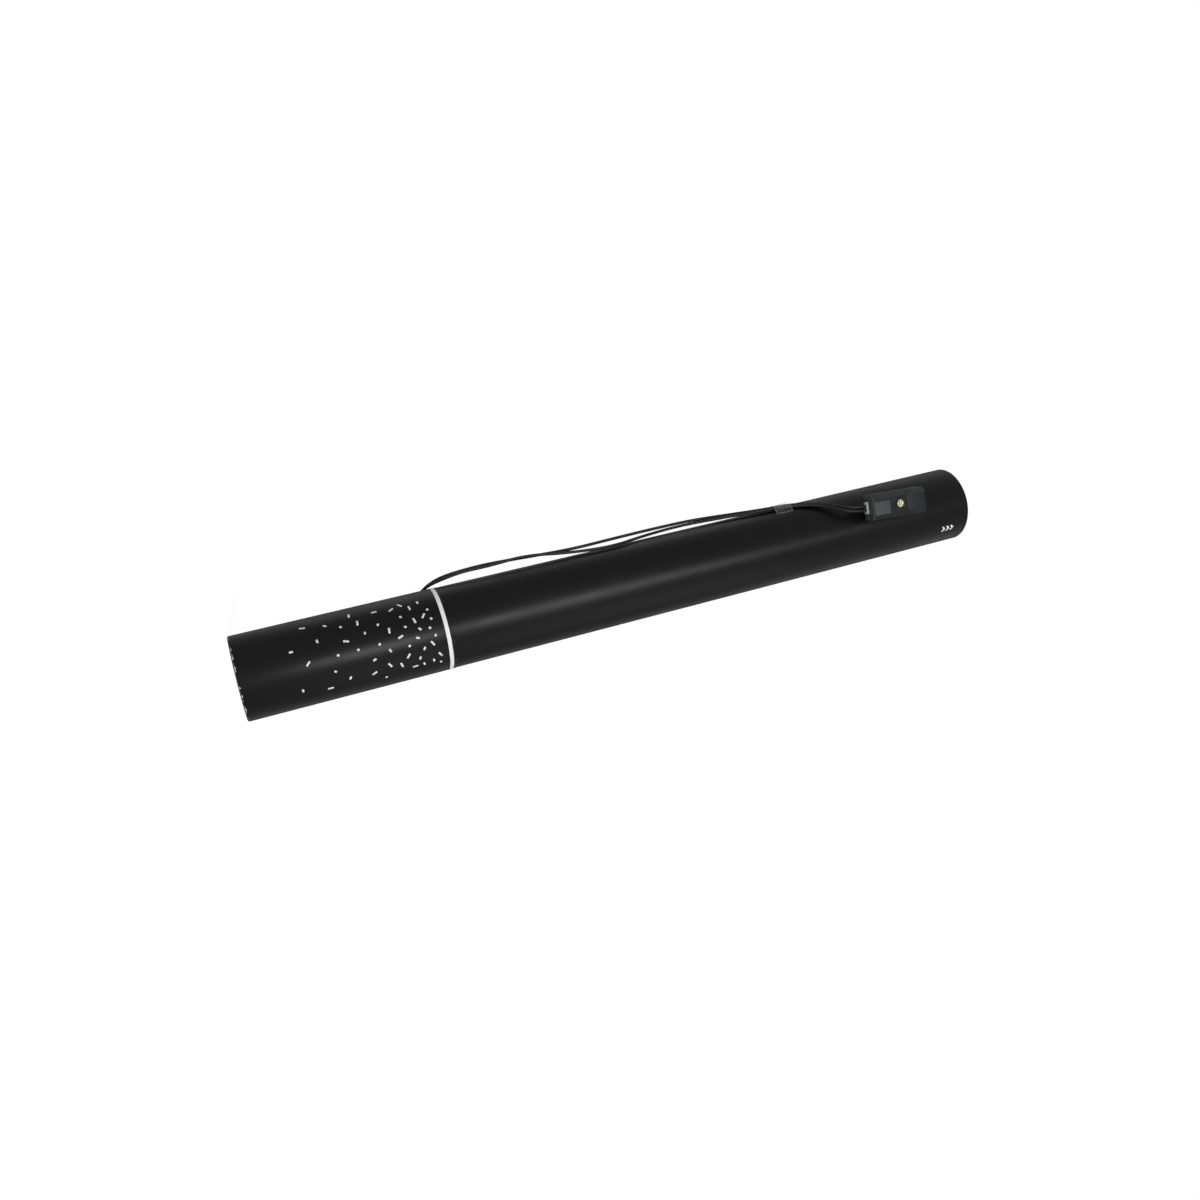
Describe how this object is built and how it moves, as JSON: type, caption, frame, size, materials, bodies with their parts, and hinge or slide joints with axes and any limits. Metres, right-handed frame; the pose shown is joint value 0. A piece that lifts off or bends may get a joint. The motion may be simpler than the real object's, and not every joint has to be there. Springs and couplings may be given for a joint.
{
  "type": "confetti cannon",
  "caption": "Single-shot confetti cannon: a black cardboard tube with a gas cylinder and striker in its base, a confetti load, and an electric lead taped to its side.",
  "frame": {"origin": "on the tube's axis at the flat underside of the base, where the cannon stands", "axes": "+Z runs along the tube from the base to the muzzle, -Y is the side that the plug is taped to, and the lead lies towards -X"},
  "size_m": [0.0585, 0.0707, 0.5],
  "materials": {
    "black_board": "satin",
    "printed_wrap": "satin",
    "white_print": "satin",
    "grey_board": "matte",
    "black_plastic": "satin",
    "nose_plastic": "satin",
    "block_plastic": "satin",
    "cylinder_steel": "satin",
    "disc_foil": "satin",
    "seal_rubber": "matte",
    "hard_steel": "satin",
    "clear_nylon": "gloss",
    "fuse_ceramic": "satin",
    "wire_sheath": "satin",
    "bush_rubber": "matte",
    "wad_foam": "matte",
    "gold_foil_paper": "gloss",
    "plug_board": "matte",
    "pin_brass": "polished",
    "screw_zinc": "satin",
    "grip_nylon": "matte",
    "pad_rubber": "matte",
    "clear_tape": "gloss"
  },
  "bodies": {
    "cannon": {"base_sleeve": "black_board", "barrel_tube": "black_board", "base_wrap": "printed_wrap", "white_band": "white_print", "joint_coupler": "grey_board", "base_cap": "black_plastic", "connector_base": "black_plastic", "connector_cover": "black_plastic", "connector_nose": "nose_plastic", "firing_block": "block_plastic", "spring_cap": "block_plastic", "gas_cylinder": "cylinder_steel", "pierce_disc": "disc_foil", "neck_seal": "seal_rubber", "striker_spring": "hard_steel", "crimp_sleeves": "hard_steel", "terminal_screws": "hard_steel", "burn_filament": "clear_nylon", "fuse_resistor": "fuse_ceramic", "inner_wires": "wire_sheath", "wire_tails": "wire_sheath", "lead_wire_a": "wire_sheath", "lead_wire_b": "wire_sheath", "exit_bush": "bush_rubber", "connector_foam": "bush_rubber", "connector_pins": "pin_brass", "cover_screw": "screw_zinc", "cord_grip": "grip_nylon", "grip_pad": "pad_rubber", "tape_strip": "clear_tape"},
    "striker": {"striker": "block_plastic", "striker_needle": "hard_steel"},
    "charge": {"pusher_wad": "wad_foam", "wad_card": "grey_board", "confetti_tier_1": "gold_foil_paper", "confetti_tier_2": "gold_foil_paper", "confetti_tier_3": "gold_foil_paper", "confetti_tier_4": "gold_foil_paper", "confetti_tier_5": "gold_foil_paper", "confetti_tier_6": "gold_foil_paper"},
    "muzzle_plug": {"muzzle_plug": "plug_board"}
  },
  "joints": [
    {"name": "striker_slide", "type": "slide", "parent": "cannon", "child": "striker", "axis": [0, 0, -1], "range_m": [0, 0.008], "deforming": ["striker_spring", "pierce_disc", "burn_filament"]},
    {"name": "charge_slide", "type": "slide", "parent": "cannon", "child": "charge", "axis": [0, 0, 1], "range_m": [0, 0.352]},
    {"name": "muzzle_plug_slide", "type": "slide", "parent": "cannon", "child": "muzzle_plug", "axis": [0, 0, 1], "range_m": [0, 0.352]}
  ],
  "couplings": [
    {"joint": "muzzle_plug_slide", "follows": "charge_slide", "ratio": 1}
  ]
}
